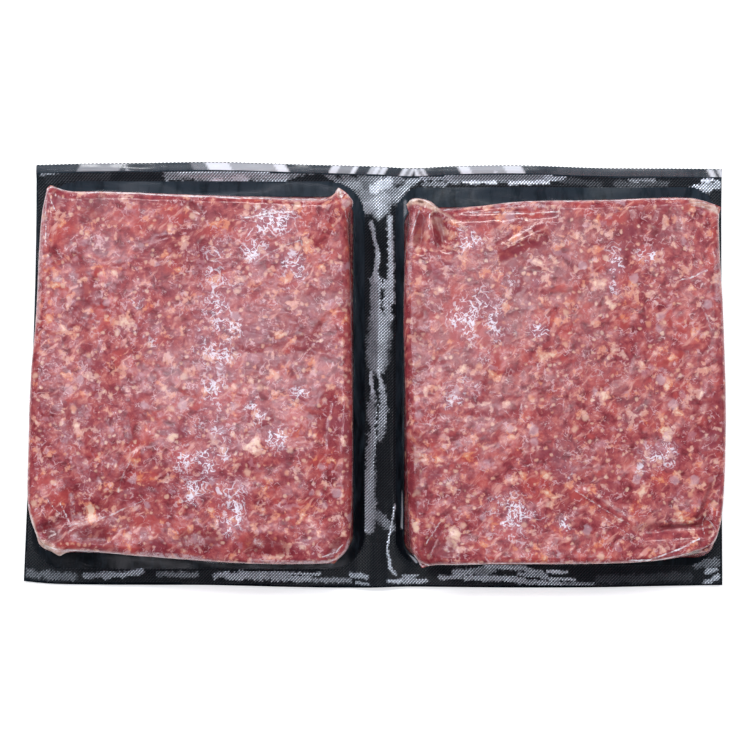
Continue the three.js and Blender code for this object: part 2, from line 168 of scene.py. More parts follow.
RIGHT_POCKET = {
    "side": "right",
    "seed": 37,
    "footprint": {"left": 12.6, "right": 128.2, "near": -68.5, "far": 63.0, "corner": 6.0, "lean": 0.0},
    "window": {"left": 8.8, "right": 129.7, "near": -72.0, "far": 71.2, "corner": 11.0, "lean": 0.0},
    "rim": {
        "near": [(17.9, -71.3), (21.6, -70.6), (40, -70.1), (91, -69.6), (109.6, -68), (117, -65.8),
                 (123.2, -63.8)],
        "far": [(12, 63), (14.2, 65.2), (17.9, 65.4), (21.6, 64.1), (25.2, 61.5), (36, 62.3), (54.4, 64.3),
                (84, 64.9), (113.3, 65.8), (119, 65.3), (125.1, 63.6), (128.6, 62.1)],
        "left": [(17.9, -71.3), (14.6, -66.3), (13.1, -59), (11.4, -5.5), (10.9, 24), (11.6, 46), (13, 58.5),
                 (12, 63)],
        "right": [(123.2, -63.8), (126.2, -61), (128.5, -54), (130.3, -26), (129.6, 15), (128.1, 46),
                  (127.9, 58.5), (128.6, 62.1)],
    },
    "creases": [
        ((100, -57.5), (123, -56), 2.3, 1.7),
        ((123, -54), (127, -38), 2.0, 1.2),
        ((78, -43), (96, -55), 1.9, -0.8),
        ((24, 58), (27, 49), 2.8, 1.9),
        ((19, 62), (17.5, 47), 2.2, 1.1),
        ((30, 58.5), (66, 60.5), 2.0, 0.9),
        ((117, 61), (127, 60), 1.8, 1.0),
        ((25, -57), (20, -68), 2.4, 0.9),
        ((48, 46), (62, 53), 2.0, -0.8),
    ],
    "marks": {
        "pool": [
            (0.85, 1.83, 23.4, 57.9, 25.2, 50.2), (0.75, 1.83, 17.6, 57.5, 16.5, 49.5),
            (0.95, 0.73, 106.2, -56.3, 120.5, -55.2), (0.7, 0.81, 124.1, -40.2, 120.1, -50.1),
            (0.5, 3.3, 20.9, -62.2, 27.4, -63.3), (0.45, 2.93, 15.7, -23.7, 15, -45.7),
            (0.5, 1.83, 119.7, -52.3, 122.7, -57.8), (0.35, 3.3, 17.2, 27.5, 16.5, -1.8),
            (0.5, 2.2, 16.5, -67.7, 24.5, -68.8),
        ],
        "ear": [
            (1, 1.32, 12.1, 63.8, 16.5, 64.1, 20.1, 63, 23.1, 61.2),
            (0.75, 1.25, 117.2, 64.1, 121.9, 62.3, 126.7, 60.8),
            (0.5, 0.6, 23.4, 61, 27.4, 58.8, 31.1, 55.8, 34, 53.3),
        ],
        # Painted shade: the ear's hole and two near corners, in dark brown
        "brown": [
            (0.9, 0.55, 16.9, 64.1, 18.2, 63.7), (1, 1.83, 118.6, -66.2, 117.5, -67.7),
            (0.8, 1.65, 11, -63.7, 12.1, -64.8),
        ],
        # Frosted folds, painted white as highlights where they catch the light
        "frost_and_painted_glare": [
            (0.7, 0.35, 12.3, 64.4, 15.5, 65, 19.5, 64.3, 23.4, 61.8),
            (0.55, 0.33, 32.6, 59.7, 37.3, 59.4, 46.5, 59.7, 57.5, 59.4, 68.5, 60.1),
            (0.8, 0.37, 26, 60.8, 31.8, 62.3, 38.4, 63, 48.3, 63.8, 68.5, 64.3, 97.8, 64.9, 116.1, 65.1),
            (0.7, 0.37, 17.2, 60.5, 15.4, 56.1, 13.9, 51), (0.9, 0.33, 20.9, 59, 20.1, 56.1, 21.2, 53.2),
            (0.7, 0.48, 112.4, 34.8, 117.5, 36.3, 122.7, 38.5), (0.55, 0.37, 74, -42.1, 83.1, -48.3, 94.1, -54.9),
            (0.45, 0.33, 83.1, -51.2, 91.2, -56.7, 99.6, -62.2), (0.4, 0.29, 106.9, -1.8, 112.4, -5.4, 117.2, -9.8),
            (0.95, 0.51, 94.1, -68.4, 101.4, -67.9, 106.5, -65.9, 113.1, -63.3, 119.7, -60),
            (0.7, 0.33, 102.2, -68.8, 108, -67.7, 116.1, -65.5),
            (0.6, 0.37, 121.6, -51.6, 124.1, -54.5, 126.3, -57.1), (0.45, 0.37, 121.2, -53, 121.6, -59.6),
            (0.5, 0.33, 27.4, -50.8, 23.4, -56, 19.8, -61.5),
            (0.8, 0.44, 14.3, -66.2, 16.5, -69.2, 18.3, -70.6, 20.1, -70.3),
            (0.5, 0.37, 116.1, 64.1, 121.6, 63, 127.1, 61.6), (0.5, 0.29, 116.8, 62.7, 121.9, 61.2, 126.7, 60.5),
            (0.5, 0.33, 20.9, -69.9, 39.2, -69.7, 61.1, -69.2), (0.35, 0.51, 119.7, 27.5, 124.1, 16.5),
        ],
        "veil": [
            (0.6, 1.1, 49.4, 62.7, 63, 62.3), (0.45, 0.95, 14.6, 58.6, 13.5, 45.8, 12.8, 29.4),
            (0.35, 1.1, 126, 45.8, 126.7, 27.5),
        ],
        # Tangles of fine wrinkles, with painted glints of the film
        "crackle_and_painted_glint": [
            (0.9, 2.64, 30.4, 20.2, 31.8, 20.2), (0.9, 7.03, 39.2, 20.9, 39.2, 18), (0.9, 1.32, 60, 33.7, 60, 31.5),
            (0.9, 2.64, 50.2, 36.7, 50.2, 35.2), (0.9, 2.2, 88.6, 45.5, 88.6, 33), (0.9, 2.2, 99.2, 44, 101.4, 44),
            (0.9, 3.52, 32.9, -6.2, 34.4, -6.2), (0.9, 1.76, 27.1, -10.6, 27.1, -10.6),
            (0.9, 6.15, 48.3, -51.2, 52, -51.2), (0.9, 2.2, 71, -34.4, 71, -36.6),
            (0.9, 1.76, 70.3, -53.8, 70.3, -55.2), (0.9, 3.52, 104, -29.6, 106.9, -29.6),
            (0.9, 1.76, 98.5, -35.1, 98.5, -35.1), (0.9, 3.52, 34.8, 49.5, 36.2, 49.5),
            (0.9, 3.52, 37, 9.2, 39.9, 9.2), (0.9, 2.2, 60.8, 16.5, 61.5, 16.5),
        ],
        "fat": [
            (1, 1.83, 106.5, -17.2, 108, -23), (0.9, 1.46, 111.3, -36.2, 112.4, -36.9),
            (0.9, 1.46, 121.2, -41, 121.9, -41.7), (0.9, 1.46, 76.5, -14.6, 77.2, -15.3),
            (0.9, 1.46, 62.6, -36.2, 63.3, -36.9), (0.9, 1.46, 66.3, 41.8, 67, 41.1),
            (1, 2.01, 110.9, -52.3, 114.6, -51.6), (1, 1.1, 15.4, -54.9, 15.7, -56.3),
            (0.9, 1.1, 31.1, -49.4, 32.9, -50.1), (1, 1.83, 28.9, -55.6, 31.8, -63.3),
            (1, 1.46, 23.8, 56.1, 26, 52.4),
        ],
    },
}
POCKETS = [LEFT_POCKET, RIGHT_POCKET]

# ---------------------------------------------------------------- the scene's own sizes

RIM_STEP = 0.4  # grid on the round edge of a pocket
RIM_BAND = 5.2
FACE_STEP = 0.5  # grid on a pocket's face
WALL_STEP = 1.4
SKIRT_ROWS = 7
MARK_DEPTH = 12.0  # marks end this far down the walls
PEBBLE_BLEND = 9.0  # how sharply one pebble gives way to the next, where the CAD has a small step
STRAND_PITCH = 3.3  # fine relief of the meat
STRAND_BEND = 1.6
MEAT_SINK = 0.3  # the meat lies this far inside the pocket's plain skin, and the next four further in
STRAND_DEPTH = 0.09
FINE_DEPTH = 0.03
PIT_DEPTH = 0.05
POOL_DEPTH = 0.35
FILM_LIFT = 0.12  # the film lies this far outside it, and the next three further out
TAUT_HEIGHT = 0.08
CRINKLE_HEIGHT = 0.03
FOLD_HEIGHT = 0.3
FILM_GAP = 0.05  # least air between them
FILM_TOP = BRICK_HEIGHT + 1.3  # the film's folds end here, inside the CAD's box
SKIN_GAP = 0.05  # air between the black web and the clear film on it
FOLD_REACH = 3.0  # a fold of the film fades out this many of its half widths from its line
SERRATION_PITCH = 1.5  # teeth of the far cut edge
SERRATION_DEPTH = 0.3
KNURL_STEP = 0.59  # half the pitch of the weld's diamonds
KNURL_HEIGHT = 0.167
KNURL_LIFT = 0.04
LIP_LINE = 3.1  # the knurl stops this far from the far edge, and these two from the near one and the sides
NEAR_MARGIN = 0.4
SIDE_MARGIN = 0.3
# Nearer than NEAR_WELD the painted highlight goes on the diamonds' faces towards the near right
NEAR_WELD = -64.0  # nearer than this the weld's diamonds face the near right, where its light comes from
LIP_SPAN = (0.9815, 0.9985)  # the loose lip's part of the web's depth

# Ripples of the web: height, pitch and seed; and the height of those along its far edge
RIPPLES = [(0.16, 9.0, 3), (0.05, 3.5, 4)]
LIP_RIPPLE = 0.12

# Folds of the web between the two windows: points of the crest from far to near, half width, height
WEB_FOLDS = [
    ([(0.2, 60), (1.6, 30), (1.0, 0), (-0.6, -30), (-4.5, -56)], 1.5, 0.55),
    ([(6.2, 62), (7.4, 30), (7.6, 0), (7.0, -30), (8.6, -60)], 1.5, 0.5),
]

# Painted highlights on the weld: where its diamonds are painted white on the faces towards the light, which also
# makes them glint: x, y, x, y of a centre line, half width, strength, and how far all the faces of a point are
# white and not only the one that makes the strokes
PAINTED_WELD_HIGHLIGHTS = [
    (-0.8, 58, 1.7, 46.3, 0.8, 1, 0.5), (1.7, 46.3, 1.1, 36.1, 1, 1, 0.5), (1.1, 36.1, 1.1, 22.8, 2, 1, 0.05),
    (6.4, 59.6, 6.8, 47.4, 1.2, 1, 0.5), (6.8, 47.4, 6.8, 34.2, 1.4, 1, 0.35), (5.7, 34.2, 6.4, 28.5, 2, 1, 0.2),
    (4.9, 28.5, 6, 21.7, 1.7, 1, 0.25), (2.6, 20.1, 2.6, 15.2, 4.2, 0.9, 0.05), (1.9, 13.3, 1.9, 6.5, 4.5, 0.65, 0.1),
    (1.5, 5, 1.5, 3.5, 3.2, 0.8, 0), (-0.8, 1.2, -0.4, -6.4, 0.8, 1, 0.7), (-0.4, -6.4, 0.4, -10.2, 1.1, 0.9, 0.2),
    (1.9, 2, 3.4, -4.9, 0.8, 0.95, 0.6), (3.4, -4.9, 3.8, -10.2, 1.4, 0.85, 0.1),
    (-0.4, -11.3, -0.4, -17, 1.7, 0.8, 0), (-0.4, -17, 0, -21.5, 1, 0.9, 0), (3.8, -10.2, 3.4, -18.9, 1.7, 0.8, 0),
    (3, -18.9, 2.6, -23.8, 1.5, 0.65, 0), (-0.4, -23.1, -1.2, -35.9, 1.7, 0.8, 0),
    (-1.3, -36.7, -1.5, -57.9, 2.2, 0.85, 0.05), (-3.5, -58.7, -7.8, -62.1, 0.8, 1, 0.8),
    (1.5, -53, 6.8, -57.9, 1.9, 0.5, 0), (8.3, -49.2, 5.2, -66.3, 0.4, 1, 0.6), (5.5, -66.6, 6.6, -73.1, 0.6, 1, 0.5),
    (6.4, -73.1, 8.7, -75.7, 0.7, 1, 0.3), (6, -78, 9.8, -78, 1, 1, 0.5), (10.2, -78, 20.1, -78, 1, 1, 0.07),
    (11.4, -76.1, 17, -76.1, 0.5, 0.9, 0.2), (-8, -75.7, -2.7, -76.5, 1, 1, 0.03),
    (-6.1, -78.8, -1.9, -79.2, 0.6, 0.9, 0.2), (-50.4, -75, -20.1, -75.4, 0.6, 0.9, 0.15),
    (-56.1, -76.1, -23.9, -77.3, 1.3, 0.75, 0.05), (-23.9, -77.6, -8.7, -78, 1, 0.5, 0.12),
    (-130.8, -75.4, -114.1, -76.5, 1.6, 0.4, 0.05), (-109.5, -76.1, -102.7, -76.1, 1, 0.75, 0),
    (-102.7, -76.1, -94.4, -75.7, 1.3, 0.9, 0.05), (-94.4, -75.7, -87.6, -74.6, 1, 1, 0.05),
    (-81.5, -75.7, -67.1, -75.7, 1.1, 0.4, 0), (-60.3, -76.5, -55, -75, 1.1, 0.9, 0),
    (-55, -76.1, -42.1, -76.5, 1.6, 0.9, 0.03), (25.4, -76.9, 33, -76.5, 0.8, 0.9, 0.1),
    (31.4, -75.4, 36.7, -74.6, 1.7, 0.9, 0.03), (34.8, -76.9, 48.9, -77.3, 1, 1, 0.17),
    (36.7, -74.6, 45.8, -73.8, 1.3, 0.6, 0.03), (42.8, -72.3, 58, -73.5, 1, 0.9, 0.15),
    (58, -73.8, 64, -75, 0.9, 0.8, 0.05), (48.1, -77.3, 57.2, -77.6, 1, 1, 0.12),
    (55.7, -75.4, 65.5, -76.5, 1, 0.75, 0), (55.7, -78.4, 70.9, -79.2, 1, 0.75, 0.12),
    (66.3, -74.6, 73.5, -74.8, 0.6, 1, 0.5), (67.1, -77.3, 76.5, -77.6, 0.6, 0.9, 0.15),
    (70.9, -79.2, 83, -79.5, 1, 0.45, 0.05), (86, -77.6, 120.1, -76.5, 1.8, 0.14, 0.03),
    (126.6, -74.6, 130, -73.8, 0.8, 1, 0.15), (126.2, -78.8, 130.7, -76.5, 0.9, 1, 0.17),
    (122.8, -72, 130.7, -70.8, 1.7, 0.4, 0), (-127, 77, -121.3, 77, 1, 0.9, 0.05),
    (-120.2, 77, -116.4, 77.4, 0.8, 0.85, 0.05), (-122.4, 74.7, -100.5, 76.2, 2.3, 0.09, 0),
    (-77.7, 75.9, -72.4, 75.9, 1.9, 0.6, 0), (-72.4, 76.6, -64.8, 76.2, 1.9, 0.9, 0),
    (-65.6, 76.2, -51.9, 75.5, 2.5, 1, 0.1), (-60.7, 74, -57.2, 73.6, 0.8, 1, 0.9),
    (-51.9, 74.7, -48.2, 74.3, 1.3, 1, 0.6), (-51.9, 76.2, -39.8, 75.9, 2.3, 0.95, 0.05),
    (-41.3, 75.5, -33.4, 75.1, 2.1, 0.95, 0.05), (-33.7, 76.2, -28.4, 77, 1.7, 0.6, 0),
    (-28.4, 77, -22.8, 77.4, 1.1, 0.4, 0), (-18.2, 76.6, -8, 70.9, 1, 0.5, 0), (-10.3, 74, -5.7, 71.7, 2.3, 0.6, 0),
    (0.4, 70.2, 5.7, 73.2, 2.3, 1, 0.55), (-4.2, 73.2, 9.5, 74.7, 3, 0.5, 0.05),
    (-4.2, 67.5, 9.5, 68.3, 3.4, 0.65, 0.05), (-1.9, 63.7, 4.2, 66.4, 3, 0.95, 0.35),
    (1.9, 61.1, 4.5, 63.3, 2.3, 0.8, 0.1), (11.4, 70.9, 17.8, 75.9, 1.9, 0.8, 0),
    (17.8, 75.5, 29.2, 76.2, 1.9, 0.7, 0), (19.3, 72.4, 27.3, 72.4, 1, 0.45, 0),
    (29.2, 74.7, 45.1, 74.7, 1.9, 0.5, 0.1), (34.5, 73.2, 46.2, 73.2, 0.6, 1, 0.5),
    (44.3, 75.1, 65.2, 74.7, 1.9, 0.45, 0.05), (51.9, 72.8, 66.3, 73.2, 0.7, 0.95, 0.3),
    (66.3, 74.7, 71.6, 75.5, 1.5, 0.8, 0), (71.6, 74, 86, 72.4, 1.4, 0.14, 0), (92.1, 72.4, 111, 72.4, 1.5, 0.17, 0),
    (97.4, 74, 106.9, 74, 0.7, 0.5, 0), (120.5, 70.6, 125.8, 71.7, 1.1, 0.95, 0.15),
    (125.8, 70.6, 130.7, 72.4, 1.9, 0.8, 0.2), (124.7, 73.6, 128.5, 74, 0.6, 1, 1),
]

# Painted highlights: streaks of light painted milky white on the film's skirts: x, y, x, y, half width, strength
PAINTED_SKIRT_STREAKS = [
    (11.4, -44, 10.9, -58, 0.3, 0.5), (12.2, 66, 12.3, 54, 0.5, 0.25), (-8.2, 40, -7.6, 22, 0.4, 0.2),
    (13.4, -67, 16.5, -71, 0.4, 0.7),
]

# Where the loose lip's glare is painted milky white: from and to along it, and how strongly
LIP_PAINTED_GLARE = [
    (-109.9, -94.4, 0.35), (-69.4, -63.7, 0.25), (-63.7, -55, 1), (-55, -38.3, 0.5), (-38.3, -34.1, 1),
    (-14.4, -11.4, 0.9), (-11.4, -6.1, 0.35), (-6.1, -4.6, 1), (0.7, 2.3, 0.7), (2.3, 4.2, 1), (4.9, 6.8, 1),
    (13.2, 14.8, 1), (14.8, 16.3, 0.4), (16.3, 17.4, 0.9), (31.1, 35.2, 1), (35.2, 48.1, 0.5), (48.1, 54.9, 0.9),
    (70.9, 116.3, 0.08), (124.7, 126.6, 0.9), (128.4, 130.2, 0.8),
]

# ---------------------------------------------------------------- numbers and noise


def smoothstep(x, low=0.0, high=1.0):
    t = np.clip((x - low) / (high - low), 0, 1)
    return t * t * (3 - 2 * t)


def cell_value(cells, seed):
    """A number from 0 to 1 that belongs to one cell of a grid; on a flat grid it is the CAD's own."""
    h = sum(c.astype(np.int64) * p for c, p in zip(cells, (374761393, 668265263, 2246822519)))
    h = (h + seed * 1442695041) & 0xFFFFFFFF
    h = ((h ^ (h >> 13)) * 1274126177) & 0xFFFFFFFF
    return (h ^ (h >> 16)) / 4294967296


def value_noise(points, pitch, seed):
    """Smooth noise from -1 to 1 at points of two or three coordinates."""
    scaled = points / pitch
    cell = np.floor(scaled)
    share = smoothstep(scaled - cell)
    total = 0.0
    for corner in np.ndindex(*(2,) * points.shape[1]):
        weight = np.prod([share[:, k] if c else 1 - share[:, k] for k, c in enumerate(corner)], axis=0)
        total = total + weight * cell_value([cell[:, k] + c for k, c in enumerate(corner)], seed)
    return 2 * total - 1


def layered_noise(points, pitch, seed, layers=3):
    """Several octaves of noise, about -1 to 1."""
    total = sum(0.5**k * value_noise(points, pitch * 0.5**k, seed + k) for k in range(layers))
    return total / 1.4


def pebbles(points, pitch, seed):
    """Pebbled relief from 0 to 1: a dome on one random point in each cell, blended where domes meet."""
    dims = points.shape[1]
    cell = np.floor(points / pitch)
    total = np.zeros(len(points))
    height = np.zeros(len(points))
    for shift in np.ndindex(*(3,) * dims):
        near = [cell[:, k] + shift[k] - 1 for k in range(dims)]
        away = sum(
            ((near[k] + 0.1 + 0.8 * cell_value(near, seed + (0, 1, 7)[k])) - points[:, k] / pitch) ** 2
            for k in range(dims)
        )
        weight = np.exp(-PEBBLE_BLEND * away)
        dome = (0.35 + 0.65 * cell_value(near, seed + 2)) * np.sqrt(np.maximum(0, 1 - away))
        total = total + weight
        height = height + weight * dome
    return height / total


# ---------------------------------------------------------------- the pack's own surfaces


def curve_through(points):
    """A function from 0 to 1 along a centripetal Catmull-Rom curve, at even speed."""
    knots = np.array(points, float)
    knots = np.vstack([2 * knots[0] - knots[1], knots, 2 * knots[-1] - knots[-2]])
    samples = []
    share = np.linspace(0, 1, 40, endpoint=False)[:, None]
    for p0, p1, p2, p3 in zip(knots, knots[1:], knots[2:], knots[3:]):
        d0, d1, d2 = (np.linalg.norm(b - a) ** 0.5 for a, b in ((p0, p1), (p1, p2), (p2, p3)))
        t1 = ((p1 - p0) / d0 - (p2 - p0) / (d0 + d1) + (p2 - p1) / d1) * d1
        t2 = ((p2 - p1) / d1 - (p3 - p1) / (d1 + d2) + (p3 - p2) / d2) * d1
        samples.append(
            p1
            + t1 * share
            + (-3 * p1 + 3 * p2 - 2 * t1 - t2) * share**2
            + (2 * p1 - 2 * p2 + t1 + t2) * share**3
        )
    line = np.vstack([*samples, knots[-2:-1]])
    run = np.concatenate([[0], np.cumsum(np.linalg.norm(np.diff(line, axis=0), axis=1))])
    return lambda s: np.stack([np.interp(s * run[-1], run, line[:, k]) for k in (0, 1)], axis=-1)


def patch_between(edges, us, vs):
    """Points of the patch that four curves bound, as an array of rows from near to far."""
    near, far, left, right = (curve_through(edges[side]) for side in ("near", "far", "left", "right"))
    u, v = us[None, :, None], vs[:, None, None]
    across = near(us)[None] * (1 - v) + far(us)[None] * v
    along = left(vs)[:, None] * (1 - u) + right(vs)[:, None] * u
    (near_left, near_right), (far_left, far_right) = (side(np.array([0.0, 1.0])) for side in (near, far))
    corners = (near_left * (1 - u) + near_right * u) * (1 - v) + (far_left * (1 - u) + far_right * u) * v
    return across + along - corners


def lean_of(x, y, outline):
    """How far an outline's leaning left side moves a point."""
    left, right = outline["left"], outline["right"]
    return outline["lean"] * y * (right - x) / (right - left)


def on_outline(points, outline):
    """Nearest points of an outline, and the directions out of it."""
    corner = outline["corner"]
    low = np.array([outline["left"], outline["near"]]) + corner
    high = np.array([outline["right"], outline["far"]]) - corner
    x, y = points.T
    straight = np.column_stack([x - lean_of(x, y, outline), y])
    centre = np.clip(straight, low, high)
    outward = straight - centre
    outward = outward / np.maximum(np.linalg.norm(outward, axis=1, keepdims=True), 1e-9)
    found = centre + outward * corner
    found[:, 0] += lean_of(*found.T, outline)
    return found, outward


def outside_outline(x, y, outline):
    """How far a point lies outside an outline; below 0 inside it."""
    corner = outline["corner"]
    straight = x - lean_of(x, y, outline)
    dx = np.maximum(outline["left"] + corner - straight, straight - outline["right"] + corner)
    dy = np.maximum(outline["near"] + corner - y, y - outline["far"] + corner)
    return np.hypot(np.maximum(dx, 0), np.maximum(dy, 0)) + np.minimum(np.maximum(dx, dy), 0) - corner


def distance_to_line(x, y, start, end):
    """Distance from points to a straight piece of line."""
    run = np.subtract(end, start)
    share = np.clip(((x - start[0]) * run[0] + (y - start[1]) * run[1]) / max(run @ run, 1e-9), 0, 1)
    return np.hypot(x - start[0] - share * run[0], y - start[1] - share * run[1])


def distance_to_path(x, y, path):
    """Distance from points to a line through several others, given as x, y, x, y and so on."""
    knots = np.reshape(path, (-1, 2))
    return np.minimum.reduce([distance_to_line(x, y, a, b) for a, b in zip(knots, knots[1:])])


def near_top(z):
    """1 on a pocket's face and 0 from some way down its walls."""
    return smoothstep(z, BRICK_HEIGHT - MARK_DEPTH, BRICK_HEIGHT - MARK_DEPTH / 2)


def mark_strength(points, pocket, kind):
    """How strongly a pocket's marks of one kind show at points near its top; a tangle's edge is the softest."""
    x, y, z = points.T
    inner, outer = (0.2, 2.3) if kind == "crackle_and_painted_glint" else (0.5, 1.5)
    found = np.zeros(len(x))
    for strength, width, *path in pocket["marks"].get(kind, ()):
        off = distance_to_path(x, y, path)
        found = np.maximum(found, strength * smoothstep(off, width * outer, width * inner))
    return found * near_top(z)


def fold_field(points, pocket):
    """The folds near a pocket's top, frosted and painted white as a highlight: 1 on a fold's line and 0 well beside
    it, and how white it is.
    """
    z = points[:, 2]
    x, y = (points[:, k] + 0.5 * layered_noise(points, 4.5, 71 + 5 * k, 2) for k in (0, 1))
    near = np.zeros(len(x))
    white = np.zeros(len(x))
    for strength, width, *path in pocket["marks"]["frost_and_painted_glare"]:
        share = np.maximum(0, 1 - distance_to_path(x, y, path) / (width * FOLD_REACH))
        white = np.where(share > near, strength, white)
        near = np.maximum(near, share)
    return near * near_top(z), white


def face_height(x, y, pocket):
    """Height of a pocket's top face before it rounds over, as in the CAD."""
    flat = np.stack([x, y], axis=-1)
    slow = SWELL_DEPTH * value_noise(flat, SWELL_PITCH, pocket["seed"])
    grain = GRAIN_DEPTH * (pebbles(flat, GRAIN_PITCH, pocket["seed"] + 5) - PEBBLE_LEVEL)
    creases = sum(
        depth * np.exp(-((distance_to_line(x, y, start, end) / width) ** 2))
        for start, end, width, depth in pocket["creases"]
    )
    return BRICK_HEIGHT + slow + grain - creases


def sheet_top(x, y):
    """Height of the sheet's upper face, as in the CAD, with the small ripples of the real film."""
    outside = np.minimum(*(outside_outline(x, y, pocket["footprint"]) for pocket in POCKETS))
    away = outside - FLAT_MARGIN
    turn = np.clip(y / FLANGE_TURN, -1, 1)
    rise = FLANGE_RISE_NEAR + (FLANGE_RISE_FAR - FLANGE_RISE_NEAR) * (1 + turn) / 2
    wave = turn * np.where(turn < 0, FLANGE_WAVE_NEAR, FLANGE_WAVE_FAR)
    flange = rise + wave * np.cos(2 * np.pi * x / FLANGE_WAVE_LENGTH)
    crest = SHEET_FAR - LIP_WIDTH
    lip = LIP_RISE * smoothstep(y, crest - 1.5 * LIP_WIDTH, crest) - LIP_DROOP * smoothstep(y, crest, SHEET_FAR)
    web = WEB_RISE * np.exp(-(((x - WEB_X) / WEB_HALF_WIDTH) ** 2))
    curl = np.hypot(
        (flange + lip) * smoothstep(away, 0, CURL_WIDTH), web * smoothstep(away, 0, WEB_HALF_WIDTH / 2)
    )
    flat = np.stack([x, y], axis=-1)
    ripple = sum(height * value_noise(flat, pitch, seed) for height, pitch, seed in RIPPLES)
    ripple = ripple + LIP_RIPPLE * smoothstep(y, SHEET_FAR - 5, SHEET_FAR - 2) * value_noise(flat, 6.0, 5)
    folds = 0.0
    for line, width, height in WEB_FOLDS:
        place = np.interp(-y, [-py for _, py in line], [px for px, _ in line])
        inside = smoothstep(y, line[-1][1] - 6, line[-1][1] + 6) * smoothstep(y, line[0][1] + 4, line[0][1] - 8)
        folds = folds + height * inside * np.exp(-(((x - place) / width) ** 2))
    return SHEET_THICKNESS + curl + ripple * smoothstep(away, 0, 4) + folds


# ---------------------------------------------------------------- meshes


def grid_quads(rows, columns):
    """Quads of a grid of vertices numbered row by row, facing up."""
    at = np.arange(rows * columns).reshape(rows, columns)
    return np.stack([at[:-1, :-1], at[:-1, 1:], at[1:, 1:], at[1:, :-1]], axis=-1).reshape(-1, 4)


def grid_border(rows, columns):
    """Indices round a grid's border, anticlockwise."""
    at = np.arange(rows * columns).reshape(rows, columns)
    return np.concatenate([at[0, :-1], at[:-1, -1], at[-1, :0:-1], at[:0:-1, 0]])


def loop_quads(upper, lower):
    """Quads between two loops of vertices, facing out."""
    return np.stack([lower, np.roll(lower, -1), np.roll(upper, -1), upper], axis=-1)


def make_piece(name, points, faces, material, attributes=None, flat=False):
    """A mesh object, from millimetres, that rides on the pack; a flat one has its attributes on its faces."""
    mesh = bpy.data.meshes.new(name)
    mesh.from_pydata((points * MM).tolist(), [], faces)
    for key, values in (attributes or {}).items():
        layer = mesh.attributes.new(key, "FLOAT", "FACE" if flat else "POINT")
        layer.data.foreach_set("value", values.astype(np.float32))
    if not flat:
        mesh.shade_smooth()
    mesh.materials.append(material)
    piece = bpy.data.objects.new(name, mesh)
    bpy.context.scene.collection.objects.link(piece)
    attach(piece, "root")
    return piece


def vertex_normals(points, faces):
    """Normals at the vertices of a mesh."""
    mesh = bpy.data.meshes.new("plain_skin")
    mesh.from_pydata(points.tolist(), [], faces.tolist())
    normals = np.empty(len(points) * 3, np.float32)
    mesh.vertices.foreach_get("normal", normals)
    bpy.data.meshes.remove(mesh)
    return normals.reshape(-1, 3).astype(float)


def stations(length):
    """Positions from 0 to 1 along a side: close together at both ends."""
    inner = length - 2 * RIM_BAND
    ends = np.arange(0, RIM_BAND, RIM_STEP)
    middle = np.linspace(RIM_BAND, length - RIM_BAND, round(inner / FACE_STEP))
    return np.concatenate([ends, middle, length - ends[::-1]]) / length


def plain_skin(pocket):
    """The pocket's top and walls without fine relief: points, quads, and the loop of its foot."""
    footprint = pocket["footprint"]
    width = footprint["right"] - footprint["left"]
    length = footprint["far"] - footprint["near"]
    us, vs = stations(width), stations(length)
    flat = patch_between(pocket["rim"], us, vs).reshape(-1, 2)
    u, v = np.tile(us, len(vs)), np.repeat(vs, len(us))
    a = np.maximum(0, 1 - np.minimum(u, 1 - u) * width / EDGE_RADIUS)
    b = np.maximum(0, 1 - np.minimum(v, 1 - v) * length / EDGE_RADIUS)
    rounding = EDGE_RADIUS * (1 - np.sqrt(1 - np.minimum(1, a * a + b * b)))
    top = np.column_stack([flat, face_height(flat[:, 0], flat[:, 1], pocket) - rounding])

    quads = [grid_quads(len(vs), len(us))]
    upper = grid_border(len(vs), len(us))
    rim = top[upper]
    foot, outward = on_outline(rim[:, :2], footprint)
    points = [top]
    rows = round(BRICK_HEIGHT / WALL_STEP)
    for row in range(1, rows + 1):
        down = row / rows
        height = rim[:, 2] * (1 - down) + POCKET_FLOOR * down
        settle = smoothstep(down, -0.35, 0.75)
        flare = WALL_FLARE * np.exp(-(height - POCKET_FLOOR) / WALL_FLARE_HEIGHT)
        place = rim[:, :2] * (1 - settle) + foot * settle + outward * flare[:, None]
        points.append(np.column_stack([place, height]))
        lower = np.arange(len(rim)) + len(top) + (row - 1) * len(rim)
        quads.append(loop_quads(upper, lower))
        upper = lower
    return np.vstack(points), np.vstack(quads), upper


# ---------------------------------------------------------------- materials


